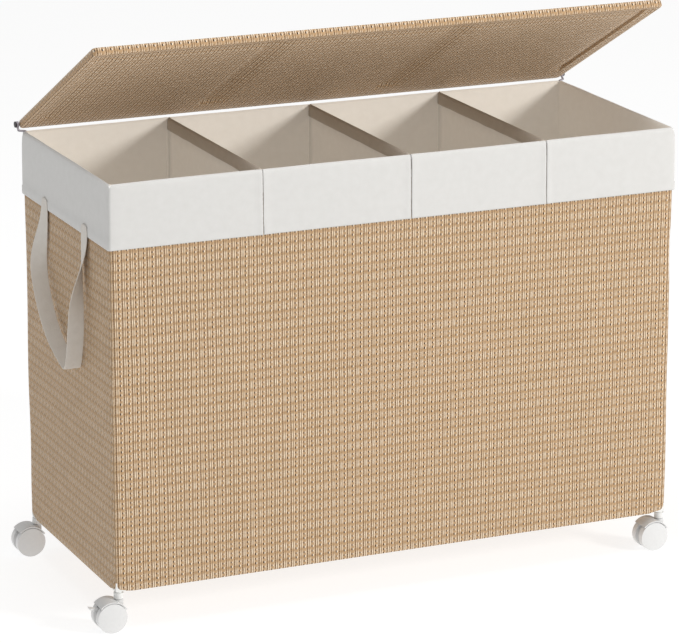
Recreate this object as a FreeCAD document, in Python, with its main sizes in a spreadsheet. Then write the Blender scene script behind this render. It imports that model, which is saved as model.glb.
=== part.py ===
import FreeCAD, Part
import Sketcher
import math
import os
import re

# Laundry sorter on casters: a woven box on a light steel frame, four hanging cloth
# liners, a hinged lid and two webbing handles.
# Frame: X runs along the width, Y from the front (-Y) to the hinges, Z up from the floor.

document = FreeCAD.newDocument("LaundrySorter")
sheet = document.addObject("Spreadsheet::Sheet", "Dims")

# alias, value in millimetres or degrees, what it is
drivingDimensions = [
    ("width", 850, "outside of the cuffs, left to right"),
    ("depth", 355, "outside of the cuffs, front to back"),
    ("bagHeight", 570, "bottom of the woven bag to the rim"),
    ("casterHeight", 53, "floor to the bottom of the bag"),
    ("clothThick", 1, "liner cloth"),
    ("weaveThick", 1.6, "woven outer bag"),
    ("layerGap", 0.3, "play between neighbouring layers"),
    ("cuffHeight", 89, "liner folded down outside the rim"),
    ("cuffSplit", 0.8, "slit between neighbouring cuffs"),
    ("dividerOne", 221, "first divider, from the left side"),
    ("dividerTwo", 439.5, "second divider, from the left side"),
    ("dividerThree", 645.5, "third divider, from the left side"),
    ("rimRod", 4, "diameter of the rim and divider rods"),
    ("postTube", 6, "diameter of the corner posts and bottom rails"),
    ("tubeWall", 1, "wall of the posts and rails"),
    ("socketDepth", 1.4, "rod end inside a top joint"),
    ("topJoint", 6.2, "side of a top corner joint"),
    ("topJointHeight", 14, "height of a top corner joint"),
    ("spigotLength", 15, "joint spigot inside the post"),
    ("bottomJoint", 14, "side of a bottom corner joint"),
    ("bottomJointHeight", 12.5, "height of a bottom corner joint"),
    ("plugDepth", 6, "tube end inside a bottom corner joint"),
    ("boardThick", 3, "base board"),
    ("boardNotch", 9, "corner cut of the base board round a post"),
    ("stemInset", 8.5, "caster stem axis, in from both outer faces"),
    ("stemRadius", 3.5, "caster stem"),
    ("collarRadius", 6.8, "collar under the bag"),
    ("collarHeight", 8, "collar under the bag"),
    ("neckRadius", 4.7, "joint neck through the bag bottom"),
    ("stemTop", 59, "upper end of the caster stem above the floor"),
    ("stemBottom", 31, "lower end of the caster stem above the floor"),
    ("washerRadius", 6.3, "steel washer under the collar"),
    ("washerThick", 1.2, "steel washer under the collar"),
    ("runningFit", 0.06, "radial clearance of turning parts"),
    ("wheelRadius", 21, "caster wheel"),
    ("trail", 14, "stem axis to the wheel axle"),
    ("webHalf", 4.8, "half thickness of the housing between the wheels"),
    ("webRadius", 16.5, "housing disc between the wheels"),
    ("wheelStart", 5.3, "inner face of a wheel from the caster centre"),
    ("wheelEnd", 14.8, "outer edge of a wheel from the caster centre"),
    ("wheelDome", 1.6, "crown of the wheel face"),
    ("hoodGap", 0.8, "wheel tread to the hood"),
    ("hoodThick", 1.8, "hood over the wheels"),
    ("hoodFront", 28, "hood end on the stem side, degrees above level"),
    ("hoodBack", 136, "hood end on the trailing side, degrees"),
    ("axleRadius", 2.5, "wheel axle"),
    ("axleHalf", 12.4, "half length of the wheel axle"),
    ("leverHalf", 2.2, "half width of the brake lever shank"),
    ("leverPadHalf", 4.4, "half width of the brake lever pad"),
    ("leverPivotX", -6.9, "brake pivot from the wheel axle"),
    ("leverPivotZ", 9.8, "brake pivot above the wheel axle"),
    ("leverPin", 1.5, "brake pivot radius"),
    ("leverEye", 3, "radius of the lever round its pivot"),
    ("leverReach", 29.6, "tip of the brake pad behind the wheel axle"),
    ("leverRise", 15.8, "brake pad tip above the wheel axle"),
    ("leverThick", 3, "brake lever"),
    ("leverTaper", 0.3, "how much thinner the lever root is than its eye"),
    ("neckShoulder", 2.4, "solid ring under the caster neck"),
    ("handleWidth", 25, "webbing width"),
    ("handleThick", 2, "webbing thickness"),
    ("handleFront", 85, "front leg of a handle, from the middle of the side"),
    ("handleRear", 76, "rear leg of a handle, from the middle of the side"),
    ("handleTurn", 84, "leg that lies flat on the side before the webbing turns edge-on"),
    ("handleReach", 25, "how far the webbing stands out where it is edge-on"),
    ("handleFold", 58, "lowest fold of the webbing, from the middle towards the front"),
    ("handleDrop", 192, "lowest fold below the top of the handle"),
    ("handleSlackY", 25, "slack bend of the rear leg, from the middle"),
    ("handleSlackDrop", 153, "slack bend of the rear leg below the top of the handle"),
    ("pivotBack", 5, "lid pivot behind the back face"),
    ("pivotRise", 8, "lid pivot above the rim"),
    ("lidOpen", 27.5, "lid angle above closed, degrees"),
    ("lidWidth", 848, "lid, left to right"),
    ("lidReach", 352, "lid, pivot to its free edge"),
    ("lidThick", 11, "lid thickness"),
    ("coverThick", 2, "woven cover of the lid"),
    ("lidRod", 7, "lid frame wire"),
    ("lidBorder", 36, "lid side to the first board"),
    ("lidBorderRight", 48, "last board to the right side of the lid"),
    ("grooveOne", 274, "first groove between the boards, from the left side"),
    ("grooveTwo", 549, "second groove between the boards, from the left side"),
    ("grooveWidth", 36, "gap between two lid boards"),
    ("boardBack", 58, "lid boards start this far in front of the pivot"),
    ("boardFront", 335, "lid boards end this far in front of the pivot"),
    ("armWire", 3.4, "diameter of the hinge arm wire"),
    ("armEye", 4.4, "radius of the hinge arm eye"),
    ("armStart", 425.3, "inner face of the hinge arm eye from the centre"),
    ("pinRadius", 2, "hinge pin"),
    ("pinDepth", 14, "hinge pin inside the lid frame"),
    ("pinHead", 4.3, "radius of the hinge pin head"),
    ("pinHeadThick", 1.6, "hinge pin head"),
    ("hingeNotch", 9.5, "opening for the hinge arm at the back corners"),
]
values = {}
for row, (alias, value, note) in enumerate(drivingDimensions, start=1):
    sheet.set(f"A{row}", note)
    sheet.set(f"B{row}", str(value))
    sheet.setAlias(f"B{row}", alias)
    values[alias] = value
document.recompute()

# Lengths that several sub-parts share, written in terms of the driving dimensions.
rim = "(casterHeight + bagHeight)"
bagSideX = "(width/2 - clothThick - layerGap)"
bagSideY = "(depth/2 - clothThick - layerGap)"
rodZ = "(casterHeight + bagHeight - clothThick - layerGap - rimRod/2)"
jointX = f"({bagSideX} - weaveThick - layerGap)"
jointY = f"({bagSideY} - weaveThick - layerGap)"
postX = f"({jointX} - topJoint/2)"
postY = f"({jointY} - topJoint/2)"
rodX = f"({jointX} - rimRod/2)"
rodY = f"({jointY} - rimRod/2)"
linerX = f"({jointX} - topJoint - layerGap)"
linerY = f"({jointY} - topJoint - layerGap)"
jointBase = "(casterHeight + weaveThick + layerGap)"
boardZ = f"({jointBase} + bottomJointHeight + layerGap)"
linerZ = f"({boardZ} + boardThick + layerGap)"
stemX = "(width/2 - stemInset)"
stemY = "(depth/2 - stemInset)"
pivotY = "(depth/2 + pivotBack)"
pivotZ = f"({rim} + pivotRise)"

corners = {
    "front_left": (-1, -1),
    "front_right": (1, -1),
    "back_left": (-1, 1),
    "back_right": (1, 1),
}
turns = {
    "X": FreeCAD.Rotation(FreeCAD.Vector(0, 1, 0), 90),
    "Y": FreeCAD.Rotation(FreeCAD.Vector(1, 0, 0), -90),
    "Z": FreeCAD.Rotation(),
}
subParts = {}


def bound(text):
    """Point every alias in an expression at the spreadsheet."""
    return re.sub(r"[A-Za-z]+", lambda word: "Dims." + word[0] if word[0] in values else word[0], text)


def bind(thing, setting, text):
    thing.setExpression(setting, bound(text))


def place(thing, corner):
    for axis, text in zip("xyz", corner):
        bind(thing, f"Placement.Base.{axis}", text)


def box(name, low, high):
    """A block between two corners, each given as three expressions."""
    block = document.addObject("Part::Box", name)
    for setting, start, end in zip(("Length", "Width", "Height"), low, high):
        bind(block, setting, f"({end}) - ({start})")
    place(block, low)
    return block


def rod(name, radius, length, start, axis="Z"):
    """A round bar from start along +X, +Y or +Z."""
    bar = document.addObject("Part::Cylinder", name)
    bar.Placement = FreeCAD.Placement(FreeCAD.Vector(), turns[axis])
    bind(bar, "Radius", radius)
    bind(bar, "Height", length)
    place(bar, start)
    return bar


def ball(name, radius, centre):
    knob = document.addObject("Part::Sphere", name)
    bind(knob, "Radius", radius)
    place(knob, centre)
    return knob


def fuse(name, pieces):
    joined = document.addObject("Part::MultiFuse", name)
    joined.Shapes = pieces
    joined.Refine = True
    return joined


def cut(name, base, tools):
    """Base less every tool."""
    removed = tools[0] if len(tools) == 1 else fuse(name + "Tools", tools)
    remaining = document.addObject("Part::Cut", name)
    remaining.Base = base
    remaining.Tool = removed
    return remaining


def group(name, pieces):
    """Identical fittings that share one node, as separate solids."""
    compound = document.addObject("Part::Compound", name)
    compound.Links = pieces
    return compound


def subPart(node, thing):
    thing.Label = node
    subParts[node] = thing


def signed(side, text):
    return text if side > 0 else f"-{text}"


def tube(name, length, start, axis="Z"):
    """A length of the steel tube that the posts and rails are cut from."""
    outside = rod(name + "Outside", "postTube/2", length, start, axis)
    inside = rod(name + "Bore", "postTube/2 - tubeWall", length, start, axis)
    return cut(name, outside, [inside])


def outline(body, name, role, cornersOfOutline):
    """A closed sketch whose corners are held at bound distances from the sketch origin."""
    sketch = body.newObject("Sketcher::SketchObject", name)
    plane = next(item for item in body.Origin.OriginFeatures if item.Role == role)
    sketch.AttachmentSupport = (plane, [""])
    sketch.MapMode = "FlatFace"
    count = len(cornersOfOutline)
    turn = 2 * math.pi / count
    start = [FreeCAD.Vector(math.cos(turn * n), math.sin(turn * n)) for n in range(count)]
    for n in range(count):
        sketch.addGeometry(Part.LineSegment(start[n], start[(n + 1) % count]), False)
    for n in range(count):
        sketch.addConstraint(Sketcher.Constraint("Coincident", n, 2, (n + 1) % count, 1))
    for n, corner in enumerate(cornersOfOutline):
        for kind, text, guess in zip(("DistanceX", "DistanceY"), corner, start[n]):
            number = sketch.addConstraint(Sketcher.Constraint(kind, -1, 1, n, 1, guess))
            bind(sketch, f"Constraints[{number}]", text)
    return sketch


def padded(name, cornersOfOutline, length, base=("0", "0", "0"), role="XY_Plane", midplane=False):
    """A PartDesign body padded from one outline."""
    body = document.addObject("PartDesign::Body", name)
    pad = body.newObject("PartDesign::Pad", name + "Pad")
    pad.Profile = outline(body, name + "Sketch", role, cornersOfOutline)
    pad.Midplane = midplane
    bind(pad, "Length", length)
    body.Tip = pad
    place(body, base)
    return body


def rectangle(low, high):
    return [low, (high[0], low[1]), high, (low[0], high[1])]


# Steel frame: posts, rim rods, divider rods and bottom rails between corner joints.
postLow = f"({jointBase} + bottomJointHeight - plugDepth)"
topJointLow = f"({rim} - clothThick - 2*layerGap - topJointHeight)"
for corner, (sideX, sideY) in corners.items():
    base = (signed(sideX, postX), signed(sideY, postY), postLow)
    subPart(f"corner_post_{corner}", tube(f"Post_{corner}", f"{topJointLow} - {postLow}", base))

rodEndX = f"({jointX} - topJoint + socketDepth)"
rodEndY = f"({jointY} - topJoint + socketDepth)"
for side, name in ((-1, "front"), (1, "back")):
    start = (f"-{rodEndX}", signed(side, rodY), rodZ)
    subPart(f"rim_rod_{name}", rod(f"Rim_{name}", "rimRod/2", f"2*{rodEndX}", start, "X"))
for side, name in ((-1, "left"), (1, "right")):
    start = (signed(side, rodX), f"-{rodEndY}", rodZ)
    subPart(f"rim_rod_{name}", rod(f"Rim_{name}", "rimRod/2", f"2*{rodEndY}", start, "Y"))

dividers = [f"({alias} - width/2)" for alias in ("dividerOne", "dividerTwo", "dividerThree")]
dividerHalf = f"({rodY} - rimRod/2 - layerGap/3)"
for number, dividerX in enumerate(dividers, start=1):
    start = (dividerX, f"-{dividerHalf}", rodZ)
    subPart(f"divider_rod_{number}", rod(f"Divider_{number}", "rimRod/2", f"2*{dividerHalf}", start, "Y"))

railZ = f"({jointBase} + bottomJointHeight - postTube/2 - layerGap)"
railEndX = f"({jointX} - bottomJoint + plugDepth)"
railEndY = f"({jointY} - bottomJoint + plugDepth)"
railX = f"({jointX} - postTube/2 - layerGap)"
railY = f"({jointY} - postTube/2 - layerGap)"
for side, name in ((-1, "front"), (1, "back")):
    start = (f"-{railEndX}", signed(side, railY), railZ)
    subPart(f"bottom_rail_{name}", tube(f"Rail_{name}", f"2*{railEndX}", start, "X"))
for side, name in ((-1, "left"), (1, "right")):
    start = (signed(side, railX), f"-{railEndY}", railZ)
    subPart(f"bottom_rail_{name}", tube(f"Rail_{name}", f"2*{railEndY}", start, "Y"))


def between(side, near, far):
    """The lower and upper limit of a span that lies near to far from the middle, on one side."""
    return (near, far) if side > 0 else (f"-({far})", f"-({near})")


def topJointAt(corner, sideX, sideY):
    """A moulded block with a spigot for the post, sockets for two rim rods, and on the
    back corners a hole for the hinge arm."""
    lowX, highX = between(sideX, f"{jointX} - topJoint", jointX)
    lowY, highY = between(sideY, f"{jointY} - topJoint", jointY)
    jointHigh = f"({topJointLow} + topJointHeight)"
    block = box(f"TopJoint_{corner}Block", (lowX, lowY, topJointLow), (highX, highY, jointHigh))
    axis = (signed(sideX, postX), signed(sideY, postY))
    spigot = rod(f"TopJoint_{corner}Spigot", "postTube/2 - tubeWall", "spigotLength",
                 (*axis, f"{topJointLow} - spigotLength"))
    socketX = rod(f"TopJoint_{corner}SocketX", "rimRod/2", f"2*{rodEndX}",
                  (f"-{rodEndX}", signed(sideY, rodY), rodZ), "X")
    socketY = rod(f"TopJoint_{corner}SocketY", "rimRod/2", f"2*{rodEndY}",
                  (signed(sideX, rodX), f"-{rodEndY}", rodZ), "Y")
    openings = [socketX, socketY]
    if sideY > 0:
        openings.append(rod(f"TopJoint_{corner}ArmHole", "armWire/2 - layerGap/2 + runningFit",
                            "topJointHeight", (*axis, f"{topJointLow} + socketDepth")))
    return cut(f"TopJoint_{corner}", fuse(f"TopJoint_{corner}Solid", [block, spigot]), openings)


subPart("top_corner_joints", group("TopJoints", [topJointAt(c, *sides) for c, sides in corners.items()]))


def bottomJointAt(corner, sideX, sideY):
    """A moulded block with sockets for the post and two rails, a neck through the bag
    bottom and a collar that the caster stem is pressed into."""
    name = f"BottomJoint_{corner}"
    lowX, highX = between(sideX, f"{jointX} - bottomJoint", jointX)
    lowY, highY = between(sideY, f"{jointY} - bottomJoint", jointY)
    blockTop = f"({jointBase} + bottomJointHeight)"
    stem = (signed(sideX, stemX), signed(sideY, stemY))
    solid = fuse(name + "Solid", [
        box(name + "Block", (lowX, lowY, jointBase), (highX, highY, blockTop)),
        rod(name + "Neck", "neckRadius", f"{jointBase} - casterHeight + 1", (*stem, "casterHeight - 1")),
        rod(name + "Collar", "collarRadius", "collarHeight - layerGap", (*stem, "casterHeight - collarHeight")),
    ])
    openings = [
        rod(name + "Stem", "stemRadius", "stemTop", (*stem, "0")),
        rod(name + "Post", "postTube/2", "plugDepth + 1",
            (signed(sideX, postX), signed(sideY, postY), postLow)),
        rod(name + "RailX", "postTube/2", f"2*{railEndX}", (f"-{railEndX}", signed(sideY, railY), railZ), "X"),
        rod(name + "RailY", "postTube/2", f"2*{railEndY}", (signed(sideX, railX), f"-{railEndY}", railZ), "Y"),
    ]
    return cut(name, solid, openings)


for corner, sides in corners.items():
    subPart(f"bottom_joint_{corner}", bottomJointAt(corner, *sides))

# Base board with its corners cut away round the posts.
notchX = f"({jointX} - boardNotch)"
notchY = f"({jointY} - boardNotch)"
boardOutline = []
for sideX, sideY in ((-1, -1), (1, -1), (1, 1), (-1, 1)):
    step = [(notchX, jointY), (notchX, notchY), (jointX, notchY)]
    if sideX == sideY:
        step.reverse()
    boardOutline += [(signed(sideX, x), signed(sideY, y)) for x, y in step]
subPart("base_board", padded("BaseBoard", boardOutline, "boardThick", ("0", "0", boardZ)))

# Woven outer bag: an open box, with holes for the caster necks and the hinge arms.
bagTop = f"({rim} - clothThick - layerGap)"
bagShell = box("BagOutside", (f"-{bagSideX}", f"-{bagSideY}", "casterHeight"), (bagSideX, bagSideY, bagTop))
bagInnerX = f"({bagSideX} - weaveThick)"
bagInnerY = f"({bagSideY} - weaveThick)"
bagCuts = [box("BagInside", (f"-{bagInnerX}", f"-{bagInnerY}", "casterHeight + weaveThick"),
               (bagInnerX, bagInnerY, f"{rim} + 1"))]
for corner, (sideX, sideY) in corners.items():
    bagCuts.append(rod(f"BagNeck_{corner}", "neckRadius + layerGap", "weaveThick + 2",
                       (signed(sideX, stemX), signed(sideY, stemY), "casterHeight - 1")))


def hingeOpening(name, side):
    """The space that the hinge arm passes through at a back corner of the rim."""
    lowX, highX = between(side, "width/2 - hingeNotch", "width/2 + 1")
    return box(name, (lowX, "depth/2 - hingeNotch", f"{rim} - hingeNotch/2"),
               (highX, "depth/2 + 1", f"{rim} + 1"))


bagCuts += [hingeOpening("BagHingeLeft", -1), hingeOpening("BagHingeRight", 1)]
subPart("outer_bag", cut("OuterBag", bagShell, bagCuts))


def liner(number, lowX, highX, outerSide):
    """A hanging cloth bag. Its rim is folded over the rods and hangs down outside as a cuff."""
    name = f"Liner_{number}"
    cuffLow = f"({rim} - cuffHeight)"
    wallLow = f"-{linerX}" if outerSide < 0 else f"({dividers[number - 2]} + rimRod/2 + layerGap)"
    wallHigh = linerX if outerSide > 0 else f"({dividers[number - 1]} - rimRod/2 - layerGap)"
    cuff = box(name + "Cuff", (lowX, "-depth/2", cuffLow), (highX, "depth/2", rim))
    spaceLow = f"{lowX} + clothThick" if outerSide < 0 else f"{lowX} - 1"
    spaceHigh = f"{highX} - clothThick" if outerSide > 0 else f"{highX} + 1"
    space = box(name + "Space", (spaceLow, "clothThick - depth/2", f"{cuffLow} - 1"),
                (spaceHigh, "depth/2 - clothThick", f"{rim} - clothThick"))
    pocketWall = box(name + "Pocket", (wallLow, f"-{linerY}", linerZ), (wallHigh, linerY, rim))
    folded = fuse(name + "Folded", [cut(name + "Rim", cuff, [space]), pocketWall])
    cuts = [box(name + "Hollow", (f"{wallLow} + clothThick", f"clothThick - {linerY}", f"{linerZ} + clothThick"),
                (f"{wallHigh} - clothThick", f"{linerY} - clothThick", f"{rim} + 1"))]
    if outerSide:
        cuts.append(hingeOpening(name + "Hinge", outerSide))
    return cut(name, folded, cuts)


cuffEdges = ["-width/2"]
for dividerX in dividers:
    cuffEdges += [f"{dividerX} - cuffSplit/2", f"{dividerX} + cuffSplit/2"]
cuffEdges.append("width/2")
for number, outerSide in ((1, -1), (2, 0), (3, 0), (4, 1)):
    lowX, highX = cuffEdges[2 * number - 2:2 * number]
    subPart(f"liner_{number}", liner(number, lowX, highX, outerSide))


def handle(name, side):
    """Webbing that lies flat below the cuff. Lower down it stands edge-on to the side and
    folds to a point near the front leg. Its upper ends are rolled round the line it lifts about."""
    hang = f"({rim} - cuffHeight - 1 - handleThick/2)"
    turnZ = f"({hang} - handleTurn)"
    foldZ = f"({hang} - handleDrop)"
    slackZ = f"({hang} - handleSlackDrop)"
    nearX = f"({bagSideX} + layerGap)"
    half = "handleThick/2"
    pieces = []
    lowX, highX = between(side, nearX, f"{nearX} + handleThick")
    for leg, middleY in (("Front", "-handleFront"), ("Rear", "handleRear")):
        lowY, highY = f"{middleY} - handleWidth/2", f"{middleY} + handleWidth/2"
        pieces.append(box(f"{name}{leg}Leg", (lowX, lowY, turnZ), (highX, highY, hang)))
        pieces.append(rod(f"{name}{leg}Roll", half, "handleWidth", (f"({lowX}) + {half}", lowY, hang), "Y"))
    band = [
        (f"-handleFront - {half}", f"{turnZ} + handleThick"),
        (f"-handleFold - {half}", f"{foldZ} - handleThick"),
        (f"handleSlackY + {half}", f"{slackZ} - handleThick"),
        (f"handleRear + {half}", f"{turnZ} + handleThick"),
        (f"handleRear - {half}", f"{turnZ} + handleThick"),
        (f"handleSlackY - {half}", f"{slackZ} + {half}"),
        (f"-handleFold + {half}", f"{foldZ} + handleThick"),
        (f"-handleFront + {half}", f"{turnZ} + handleThick"),
    ]
    lowX, highX = between(side, nearX, f"{nearX} + handleReach")
    pieces.append(padded(name + "Band", band, "handleReach", (lowX, "0", "0"), role="YZ_Plane"))
    return fuse(name, pieces)


subPart("handle_left", handle("HandleLeft", -1))
subPart("handle_right", handle("HandleRight", 1))


# Lid, drawn closed with the hinge axis as its origin, then turned open about that axis.
def lidPart(node, thing):
    """Carry a piece drawn about the hinge axis to its place on the open lid."""
    hinged = group(thing.Name + "Hinged", [thing])
    hinged.Placement.Rotation = FreeCAD.Rotation(FreeCAD.Vector(-1, 0, 0), values["lidOpen"])
    place(hinged, ("0", pivotY, pivotZ))
    bind(hinged, "Placement.Rotation.Angle", "lidOpen")
    subPart(node, hinged)


lidHalf = "(lidWidth/2)"
lidSheetZ = "(coverThick - lidThick/2)"
lidInsideX = "(lidWidth/2 - coverThick)"
lidBackY = "(lidThick/2)"
pinHoles = [rod(f"LidPinHole{side + 1}", "pinRadius + layerGap", "coverThick + 2",
                (f"{lidInsideX} - 1" if side > 0 else f"-{lidHalf} - 1", "0", "0"), "X") for side in (-1, 1)]
lidTray = cut("LidTray", box("LidTraySolid", (f"-{lidHalf}", "-lidReach", lidSheetZ), (lidHalf, lidBackY, "lidThick/2")),
              [box("LidTrayHollow", (f"-{lidInsideX}", "coverThick - lidReach", f"{lidSheetZ} - 1"),
                   (lidInsideX, f"{lidBackY} - coverThick", "lidThick/2 - coverThick"))] + pinHoles)
lidPart("lid_cover_top", lidTray)
lidPart("lid_cover_underside", box("LidUnderside", (f"-{lidHalf}", "-lidReach", "-lidThick/2"),
                                   (lidHalf, lidBackY, f"{lidSheetZ} - layerGap/3")))

pinSockets = [rod(f"LidPinSocket{side + 1}", "pinRadius", "pinDepth + 1",
                  (f"{lidInsideX} - pinDepth" if side > 0 else f"-{lidInsideX} - 1", "0", "0"), "X") for side in (-1, 1)]


def bentWire(name, radius, points):
    """Round wire along a chain of straight legs, with round bends."""
    start = points[0]
    section = Part.Wire(Part.makeCircle(radius, start, points[1] - start))
    wire = document.addObject("Part::Feature", name)
    roundCorners = 2
    wire.Shape = Part.Wire(Part.makePolygon(points)).makePipeShell([section], True, False, roundCorners)
    return wire


bowX = values["lidWidth"] / 2 - values["coverThick"] - values["lidRod"] / 2 - values["layerGap"]
bowFront = values["coverThick"] + values["lidRod"] / 2 + values["layerGap"] - values["lidReach"]
bow = bentWire("LidBow", values["lidRod"] / 2 - 2 * values["layerGap"],
               [FreeCAD.Vector(x, y, 0) for x, y in ((-bowX, 0), (-bowX, bowFront), (bowX, bowFront), (bowX, 0))])
lidBack = rod("LidWireBack", "lidRod/2 - layerGap", f"2*{lidInsideX} - layerGap",
              (f"layerGap/2 - {lidInsideX}", "0", "0"), "X")
lidPart("lid_frame", cut("LidFrame", fuse("LidWire", [bow, lidBack]), pinSockets))

lidBoards = [
    ("left", "lidBorder - width/2", "grooveOne - grooveWidth/2 - width/2"),
    ("middle", "grooveOne + grooveWidth/2 - width/2", "grooveTwo - grooveWidth/2 - width/2"),
    ("right", "grooveTwo + grooveWidth/2 - width/2", "width/2 - lidBorderRight"),
]
for name, lowX, highX in lidBoards:
    board = padded(f"LidBoard_{name}", rectangle((lowX, "-boardFront"), (highX, "-boardBack")), "boardThick",
                   midplane=True)
    lidPart(f"lid_board_{name}", board)

pins = []
for side in (-1, 1):
    shaftLow = f"{lidInsideX} - pinDepth" if side > 0 else "-armStart - armWire - layerGap"
    shaft = rod(f"Pin{side + 1}Shaft", "pinRadius", f"armStart + armWire + layerGap - {lidInsideX} + pinDepth",
                (shaftLow, "0", "0"), "X")
    headLow = "armStart + armWire + layerGap" if side > 0 else "-armStart - armWire - layerGap - pinHeadThick"
    head = rod(f"Pin{side + 1}Head", "pinHead", "pinHeadThick", (headLow, "0", "0"), "X")
    pins.append(fuse(f"Pin{side + 1}", [shaft, head]))
lidPart("hinge_pins", group("HingePins", pins))


def hingeArm(name):
    """The left arm: wire from inside the back corner joint, over the rim corner and out
    to an eye round the hinge pin."""
    sizes = values
    legInset = sizes["topJoint"] / 2 + sizes["weaveThick"] + sizes["clothThick"] + 2 * sizes["layerGap"]
    rimHeight = sizes["casterHeight"] + sizes["bagHeight"]
    jointHigh = rimHeight - sizes["clothThick"] - 2 * sizes["layerGap"]
    wireRadius = sizes["armWire"] / 2 - sizes["layerGap"] / 2
    legX, legY = legInset - sizes["width"] / 2, sizes["depth"] / 2 - legInset
    eyeX = -sizes["armStart"] - sizes["armWire"] / 2
    bend = jointHigh + wireRadius + sizes["runningFit"]
    points = [
        FreeCAD.Vector(legX, legY, jointHigh - sizes["topJointHeight"] + 2 * sizes["socketDepth"]),
        FreeCAD.Vector(legX, legY, bend),
        FreeCAD.Vector(eyeX, sizes["depth"] / 2 - sizes["clothThick"], bend + sizes["layerGap"]),
        FreeCAD.Vector(eyeX, sizes["depth"] / 2 + sizes["pivotBack"] - 1,
                       rimHeight + sizes["pivotRise"] - sizes["armEye"] + 1),
    ]
    wire = bentWire(name + "Wire", wireRadius, points)
    eye = rod(name + "Eye", "armEye", "armWire", ("-armStart - armWire", pivotY, pivotZ), "X")
    hole = rod(name + "Hole", "pinRadius + runningFit", "armWire + 2",
               ("-armStart - armWire - 1", pivotY, pivotZ), "X")
    return cut(name, fuse(name + "Solid", [wire, eye]), [hole])


armLeft = hingeArm("ArmLeft")
armRight = document.addObject("Part::Mirroring", "ArmRight")
armRight.Source = armLeft
armRight.Normal = FreeCAD.Vector(1, 0, 0)
subPart("hinge_arm_left", armLeft)
subPart("hinge_arm_right", armRight)

# Casters: every one trails towards -X. Two of them have a brake lever.
brakedCorners = ("front_left", "back_right")


def caster(corner, sideX, sideY):
    name = f"Caster_{corner}"
    cx, cy = signed(sideX, stemX), signed(sideY, stemY)
    axleX = f"({cx} - trail)"
    hoodInner = "(wheelRadius + hoodGap)"
    collarLow = "(casterHeight - collarHeight)"
    neckTop = f"({collarLow} - washerThick - layerGap)"

    def hoodSector(piece, radius):
        sector = document.addObject("Part::Cylinder", name + piece)
        bind(sector, "Radius", radius)
        bind(sector, "Height", "2*wheelEnd")
        bind(sector, "Angle", "hoodBack - hoodFront")
        lift = FreeCAD.Rotation(FreeCAD.Vector(0, 1, 0), -values["hoodFront"])
        lie = FreeCAD.Rotation(FreeCAD.Vector(1, 0, 0), 90)
        sector.Placement = FreeCAD.Placement(FreeCAD.Vector(), lift.multiply(lie))
        place(sector, (axleX, f"{cy} + wheelEnd", "wheelRadius"))
        return sector

    web = rod(name + "Web", "webRadius", "2*webHalf", (axleX, f"{cy} - webHalf", "wheelRadius"), "Y")
    shoulder = box(name + "Shoulder", (axleX, f"{cy} - webHalf", "stemBottom - washerThick - 2"),
                   (f"{cx} + webHalf", f"{cy} + webHalf", f"{neckTop} - 2"))
    hood = cut(name + "Hood", hoodSector("HoodOutside", f"{hoodInner} + hoodThick"),
               [hoodSector("HoodInside", hoodInner)])
    neck = rod(name + "Neck", "washerRadius - layerGap", "washerThick + neckShoulder",
               (cx, cy, f"{neckTop} - washerThick - neckShoulder"))
    solid = fuse(name + "Solid", [web, shoulder, hood, neck])
    cuts = [
        rod(name + "StemBore", "stemRadius + runningFit", "casterHeight", (cx, cy, "stemBottom - layerGap")),
        rod(name + "AxleBore", "axleRadius", "2*wheelEnd", (axleX, f"{cy} - wheelEnd", "wheelRadius"), "Y"),
    ]
    pivot = (f"{axleX} + leverPivotX", "wheelRadius + leverPivotZ")
    if corner in brakedCorners:
        slotHalf = "(leverHalf + layerGap)"
        cuts.append(box(name + "Slot", (f"{axleX} - wheelRadius", f"{cy} - {slotHalf}", "wheelRadius + leverThick"),
                        (f"{pivot[0]} + leverEye + 1", f"{cy} + {slotHalf}", "wheelRadius + webRadius")))
    housing = cut(name + "Housing", solid, cuts)
    if corner in brakedCorners:
        pin = rod(name + "LeverPin", "leverPin", "2*webHalf", (pivot[0], f"{cy} - webHalf", pivot[1]), "Y")
        housing = fuse(name + "PinnedHousing", [housing, pin])
        subPart(f"brake_lever_{corner}", brakeLever(name, cy, axleX, pivot))
    subPart(f"caster_housing_{corner}", housing)
    axle = rod(name + "Axle", "axleRadius", "2*axleHalf", (axleX, f"{cy} - axleHalf", "wheelRadius"), "Y")
    subPart(f"caster_axle_{corner}", axle)
    subPart(f"caster_wheel_{corner}_outer", wheel(name + "WheelOuter", axleX, cy, sideY))
    subPart(f"caster_wheel_{corner}_inner", wheel(name + "WheelInner", axleX, cy, -sideY))


def wheel(name, axleX, cy, side):
    """A solid wheel whose outer face is slightly domed. Its axle hole is blind."""
    low, high = between(side, "wheelStart", "wheelEnd + wheelDome")
    disc = rod(name + "Disc", "wheelRadius", "wheelEnd + wheelDome - wheelStart",
               (axleX, f"{cy} + {low}", "wheelRadius"), "Y")
    crown = "((wheelRadius^2 + wheelDome^2) / (2*wheelDome))"
    centre = f"wheelEnd + wheelDome - {crown}"
    centreY = f"{cy} + {centre}" if side > 0 else f"{cy} - ({centre})"
    dome = ball(name + "Dome", crown, (axleX, centreY, "wheelRadius"))
    domed = document.addObject("Part::MultiCommon", name + "Domed")
    domed.Shapes = [disc, dome]
    holeLow, holeHigh = between(side, "wheelStart - 1", "axleHalf + layerGap")
    hole = rod(name + "Hole", "axleRadius + runningFit", "axleHalf + layerGap - wheelStart + 1",
               (axleX, f"{cy} + {holeLow}", "wheelRadius"), "Y")
    return cut(name, domed, [hole])


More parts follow.
